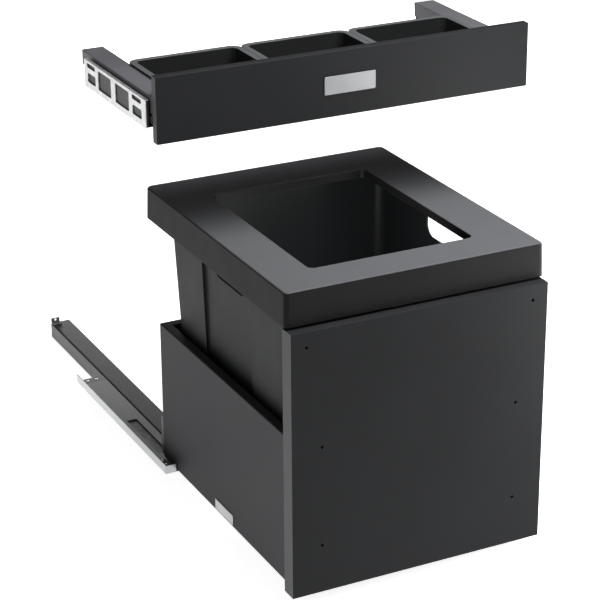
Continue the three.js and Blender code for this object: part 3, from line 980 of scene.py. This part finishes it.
@dataclass
class Runners:
    """The fixed profiles, the telescopic rails and the rails along the cabinet walls."""

    profile_sheet: float = 2 * MM
    rail_sheet: float = 1.5 * MM
    web_sheet: float = 1.2 * MM
    rivet: tuple[tuple[float, float], ...] = (
        (0.0, 0.0), (2.6, 0.0), (2.6, 0.1), (2.35, 0.4), (1.9, 0.62), (1.2, 0.76), (0.0, 0.8),
    )
    screw: tuple[tuple[float, float], ...] = (
        (0.0, 0.0), (3.0, 0.0), (3.0, 0.5), (2.9, 1.1), (2.55, 1.75), (2.0, 2.2), (1.2, 2.4),
        (1.15, 1.2), (0.0, 0.9),
    )
    rivet_height: float = 0.8
    rivet_insets: tuple[float, float] = (13.5 * MM, 28 * MM)
    end_plate: float = 1 * MM
    stop_width: float = 17.5 * MM
    stop_gap: float = 1.5 * MM

    def build(self) -> None:
        """Makes the steel parts and dresses the plastic ones."""
        self.channel("floor_channel", CHANNEL_COAT, "base_profile", self.profile_sheet)
        self.channel("telescopic_rail", BRIGHT_PLATE, "middle_rail", self.rail_sheet)
        self.wall_rails()
        self.rail_ends()
        for place in (1, 2, 3):
            self.screw_heads(place)
        for node in ("front_glide", "rear_glide"):
            dress_pair(node, RUNNER_PLASTIC)
        dress_pair("rear_clip", BAR_COAT, Softening(0.2 * MM))
        dress_pair("rail_cover", ZINC_SHEET, Softening(0.15 * MM))

    def channel(self, name: str, finish: Finish, node: str, sheet: float) -> None:
        """Makes a pair of channels that are open towards the middle of the unit."""
        path = (">[", "[[", "[]", ">]")
        BentSheet.of(f"{node}_left", sheet, path, bend=2.2 * MM).pair(name, finish, node)

    def wall_rails(self) -> None:
        """Makes the rails along the cabinet walls, each with a low stop at its front."""
        low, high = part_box("cabinet_rail_left")
        half = self.web_sheet / 2
        sheet = BentSheet.of(
            "cabinet_rail_left", self.web_sheet, (">[", "[[", "[>"), bend=1.4 * MM
        )
        stop_low = Vector((low.x + self.web_sheet, low.y + 0.75 * MM - half, low.z + half))
        stop_high = Vector(
            (low.x + self.stop_width, stop_low.y + 0.01 * MM, high.z - self.stop_gap)
        )
        for side in Side:
            work = sheet.form()
            stop = work.block(stop_low, stop_high)
            sides = unique(face for vert in stop for face in vert.link_faces)
            flat = [face for face in sides if face.normal.y > -0.9]
            bmesh.ops.delete(work.mesh, geom=flat, context="FACES")
            work.mirror(side)
            work.finish(
                f"wall_rail_{side}",
                WALL_ZINC,
                (f"cabinet_rail_{side}",),
                self.web_sheet,
                True,
                Softening(0.2 * MM),
            )

    def rail_ends(self) -> None:
        """Makes the plates at the rear ends of the rails, each with two rivets."""
        low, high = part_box("rail_end_plate_left")
        middle = (low.y + high.y) / 2
        for side in Side:
            work = Workpiece()
            work.block(low, Vector((high.x, high.y, low.z + self.end_plate)))
            work.mirror(side)
            node = f"rail_end_plate_{side}"
            work.finish(f"rail_end_{side}", END_ZINC, (node,), softening=Softening(0.15 * MM))
            rivets = Workpiece()
            for inset in self.rivet_insets:
                seat = Vector((low.x + inset, middle, low.z + self.end_plate * 0.95))
                profile = [(r * MM, z * MM * self.rivet_height) for r, z in self.rivet]
                rivets.take(turned(profile, seat))
            rivets.mirror(side)
            rivets.finish(
                f"rail_rivets_{side}", BRIGHT_SCREW, (node,), softening=Softening(0.1 * MM)
            )

    def screw_heads(self, place: int) -> None:
        """Makes a pair of socket screw heads, at a place counted along the rail."""
        low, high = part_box(f"rail_screw_{place}_left")
        seat = Vector(((low.x + high.x) / 2, (low.y + high.y) / 2, low.z))
        for side in Side:
            work = turned([(r * MM, z * MM) for r, z in self.screw], seat)
            work.turn_out(Vector((0, 0, -1)))
            work.mirror(side)
            work.finish(
                f"screw_head_{place}_{side}", BRIGHT_SCREW,
                (f"rail_screw_{place}_{side}",), softening=Softening(0.1 * MM),
            )


# ---------- inner drawer


@dataclass
class Tray:
    """One loose organiser tray with a broad flat rim."""

    place: str
    rim: float = 9 * MM
    wall: float = 2 * MM
    corner: float = 12 * MM

    def build(self) -> None:
        """Makes the tray."""
        node = f"tray_{self.place}"
        low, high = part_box(node)
        work = Workpiece()

        def level(inset: float, height: float, radius: float) -> Edges:
            """Adds the outline of the tray's outer skin at a height."""
            return work.ring_within(low, high, inset, height, radius)

        body = self.rim - self.wall
        under_rim = high.z - self.wall
        rings = [
            level(body + 5 * MM, low.z, self.corner - 3 * MM),
            level(body + 2.6 * MM, low.z + 1.2 * MM, self.corner - 2 * MM),
            level(body + 1.5 * MM, low.z + 4 * MM, self.corner - 1 * MM),
            level(body, under_rim, self.corner),
            level(self.wall, under_rim, self.corner + 1 * MM),
            level(self.wall, under_rim - 1.6 * MM, self.corner + 1 * MM),
        ]
        work.skin(*rings)
        work.cap(rings[0])
        work.turn_out(Vector((0, 0, -1)))
        work.finish(
            f"{node}_moulding", TRAY_PLASTIC, (node,), self.wall, False, Softening(0.7 * MM, 3)
        )


@dataclass
class FixingPlates:
    """The bright plates on the cabinet's side walls, with six rounded windows each.

    Attributes:
        windows: For each window its start and end along the plate from the rear, its top and
            bottom below the plate's top edge, all as shares, and its corner radius.
    """

    sheet: float = 1.5 * MM
    windows: tuple[tuple[float, float, float, float, float], ...] = (
        (0.05, 0.185, 0.08, 0.24, 2.9 * MM),
        (0.055, 0.19, 0.43, 0.77, 2.6 * MM),
        (0.235, 0.45, 0.11, 0.8, 2.6 * MM),
        (0.52, 0.74, 0.11, 0.8, 2.6 * MM),
        (0.79, 0.935, 0.08, 0.24, 2.9 * MM),
        (0.795, 0.94, 0.44, 0.77, 2.6 * MM),
    )
    fold_inset: float = 2 * MM

    def build(self) -> None:
        """Makes both plates."""
        for side in Side:
            self.plate(side)

    def plate(self, side: Side) -> None:
        """Makes the plate on one wall."""
        low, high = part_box("adapter_plate_left")
        length, height = high.y - low.y, high.z - low.z
        work = Workpiece()
        loops = work.ring((low.y, high.y), (low.z, high.z), 0.0, 1.4 * MM, 4)
        for start, end, top, bottom, radius in self.windows:
            along = (high.y - end * length, high.y - start * length)
            upright = (high.z - bottom * height, high.z - top * height)
            loops += work.ring(along, upright, 0.0, radius, 6)
        bmesh.ops.triangle_fill(work.mesh, use_beauty=True, edges=loops, normal=(0.0, 0.0, 1.0))
        bmesh.ops.transform(work.mesh, matrix=STAND_UP, verts=work.mesh.verts)
        bmesh.ops.translate(work.mesh, vec=(low.x + self.sheet / 2, 0, 0), verts=work.mesh.verts)
        self.fold(work, low, high)
        work.mirror(side)
        work.finish(
            f"fixing_plate_{side}", BRIGHT_PLATE, (f"adapter_plate_{side}",),
            self.sheet, True, Softening(0.3 * MM, 2),
        )

    def fold(self, work: Workpiece, low: Vector, high: Vector) -> None:
        """Adds the narrow fold along the top of a plate between two corners."""
        level = high.z - self.sheet / 2
        start = low.x + self.sheet * 1.2
        front, rear = low.y + self.fold_inset, high.y - self.fold_inset
        corners = ((start, front), (high.x, front), (high.x, rear), (start, rear))
        work.mesh.faces.new([work.mesh.verts.new((x, y, level)) for x, y in corners])


@dataclass
class Drawer:
    """The shallow inner drawer with its front, side bars, tray pan and slides."""

    front_edge: Softening = field(default_factory=lambda: Softening(0.8 * MM, 3))
    bar_edge: Softening = field(default_factory=lambda: Softening(0.9 * MM, 3))
    sheet: float = 1.5 * MM

    def build(self) -> None:
        """Dresses the front, bars and slides, and makes the pan, badge and trays."""
        dress_node("drawer_front", FRONT_BOARD, self.front_edge)
        dress_pair("drawer_side", BAR_COAT, self.bar_edge)
        dress_pair("drawer_cap", RUNNER_PLASTIC, Softening(0.5 * MM))
        dress_pair("slide_block", RUNNER_PLASTIC)
        dress_pair("drawer_runner", ZINC_SHEET, Softening(0.2 * MM))
        self.pan()
        self.badge()
        FixingPlates().build()
        for place in ("left", "centre", "right"):
            Tray(place).build()

    def pan(self) -> None:
        """Makes the pan that the trays stand in, and the slides beside the drawer."""
        trough = ("[>", "[[", "][", "]>")
        BentSheet.of("tray_pan", self.sheet, trough).form().finish(
            "tray_shelf", BAR_COAT, ("tray_pan",), self.sheet, True, Softening(0.2 * MM)
        )
        slide = BentSheet.of("drawer_slide_left", self.sheet, trough)
        slide.pair("drawer_trough", ZINC_SHEET, "drawer_slide")

    def badge(self) -> None:
        """Makes the plain plate on the drawer front, with a fine raised border."""
        low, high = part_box("badge_plate")
        work = Workpiece()
        loop = work.ring((low.x, high.x), (low.z, high.z), 0.0, 1.5 * MM, 5)
        work.cap(loop)
        face = work.mesh.faces[:][0]
        bmesh.ops.inset_region(work.mesh, faces=[face], thickness=1.3 * MM, depth=0.0)
        bmesh.ops.inset_region(work.mesh, faces=[face], thickness=0.3 * MM, depth=-0.2 * MM)
        stand = Matrix(((1, 0, 0), (0, 0, -1), (0, 1, 0))).to_4x4()
        bmesh.ops.transform(work.mesh, matrix=stand, verts=work.mesh.verts)
        bmesh.ops.translate(work.mesh, vec=(0, low.y, 0), verts=work.mesh.verts)
        work.turn_out(Vector((0, -1, 0)))
        work.finish("badge", BADGE_STEEL, ("badge_plate",), 0.5 * MM, False, Softening(0.1 * MM))


# ---------- studio


@dataclass(frozen=True)
class Softbox:
    """A large soft light that looks at a point of the unit."""

    name: str
    place: tuple[float, float, float]
    aim: tuple[float, float, float]
    size: tuple[float, float]
    power: float

    def build(self) -> None:
        """Adds the light to the scene."""
        data = bpy.data.lights.new(self.name, "AREA")
        data.shape = "RECTANGLE"
        data.size, data.size_y = self.size
        data.energy = self.power
        light = put(self.name, data)
        light.visible_camera = False
        light.location = self.place
        look = Vector(self.aim) - Vector(self.place)
        light.rotation_euler = look.to_track_quat("-Z", "Y").to_euler()


@dataclass(frozen=True)
class Studio:
    """The pale floor, the lights and the camera."""

    world: float = 0.1
    floor_colour: Colour = (0.78, 0.785, 0.79)
    floor_glow: float = 0.86
    floor_half: float = 9.0
    floor_gap: float = 0.6 * MM
    camera_place: tuple[float, float, float] = (-1.2654, -2.6837, 1.4757)
    heading: float = 26.426
    descent: float = 22.896
    roll: float = -0.399
    lens: float = 128.12
    sensor: float = 36.0
    softboxes: tuple[Softbox, ...] = (
        Softbox("top_key", (0.3, -0.74, 1.6), (0.05, -0.4, 0.45), (0.8, 0.85), 42.0),
        Softbox("left_fill", (-2.4, -0.6, 1.2), (-0.1, -0.2, 0.3), (1.4, 1.6), 12.0),
        Softbox("rear_fill", (0.9, 2.3, 0.3), (0.0, 0.0, 0.24), (1.8, 0.4), 16.0),
        Softbox("right_edge", (0.46, -0.66, 0.36), (0.1, -0.49, 0.36), (0.12, 0.6), 4.0),
        Softbox("inner_glow", (-0.04, -0.36, 0.4), (0.02, -0.1, 0.36), (0.1, 0.06), 0.75),
    )

    def build(self) -> None:
        """Adds everything that surrounds the unit."""
        self.floor()
        self.sky()
        for box in self.softboxes:
            box.build()
        self.camera()

    def floor(self) -> None:
        """Adds the floor, a hair below the unit."""
        mesh = bmesh.new()
        bmesh.ops.create_grid(mesh, x_segments=4, y_segments=4, size=self.floor_half)
        bmesh.ops.translate(mesh, vec=(0, 0, -self.floor_gap), verts=mesh.verts)
        data = bpy.data.meshes.new("studio_floor")
        mesh.to_mesh(data)
        mesh.free()
        floor = put("studio_floor", data)
        graph = Graph("pale_floor")
        cloud = graph.noise(0.8, 2.0)
        tone = graph.blend(
            cloud.spread(0.3, 0.7), shade(self.floor_colour, 0.985), self.floor_colour
        )
        data.materials.append(
            graph.surface(
                Base_Color=tone,
                Roughness=0.8 + cloud * 0.1,
                Specular_IOR_Level=0.2,
                Emission_Strength=self.floor_glow,
            )
        )

    def sky(self) -> None:
        """Sets the even light from all round."""
        world = bpy.data.worlds.new("soft_room")
        world.use_nodes = True
        tree = world.node_tree
        fill = tree.nodes["Background"]
        fill.inputs["Color"].default_value = (1.0, 1.0, 1.0, 1.0)
        fill.inputs["Strength"].default_value = self.world
        backdrop = tree.nodes.new("ShaderNodeBackground")
        backdrop.inputs["Color"].default_value = (1.0, 1.0, 1.0, 1.0)
        rays = tree.nodes.new("ShaderNodeLightPath")
        choice = tree.nodes.new("ShaderNodeMixShader")
        for source, target in (
            (rays.outputs["Is Camera Ray"], choice.inputs[0]),
            (fill.outputs[0], choice.inputs[1]),
            (backdrop.outputs[0], choice.inputs[2]),
            (choice.outputs[0], tree.nodes["World Output"].inputs["Surface"]),
        ):
            tree.links.new(source, target)
        bpy.context.scene.world = world
        bpy.context.scene.view_settings.view_transform = "Standard"

    def camera(self) -> None:
        """Adds the camera at the front left, above the unit."""
        data = bpy.data.cameras.new("camera")
        data.sensor_width = self.sensor
        data.lens = self.lens
        data.clip_start, data.clip_end = 0.05, 60.0
        camera = put("camera", data)
        turn = Quaternion((0, 0, 1), math.radians(-self.heading))
        tilt = Quaternion((1, 0, 0), math.radians(90 - self.descent))
        level = Quaternion((0, 0, 1), math.radians(self.roll))
        camera.rotation_mode = "QUATERNION"
        camera.rotation_quaternion = turn @ tilt @ level
        camera.location = self.camera_place
        bpy.context.scene.camera = camera


def main() -> None:
    """Builds the studio and every sub-assembly in order."""
    logging.basicConfig(level=logging.INFO, format="%(message)s")
    for part in (Studio(), Carriage(), Bin(), Lid(), Runners(), Drawer()):
        part.build()
        log.info("%s done", type(part).__name__)


if __name__ == "__main__":
    main()
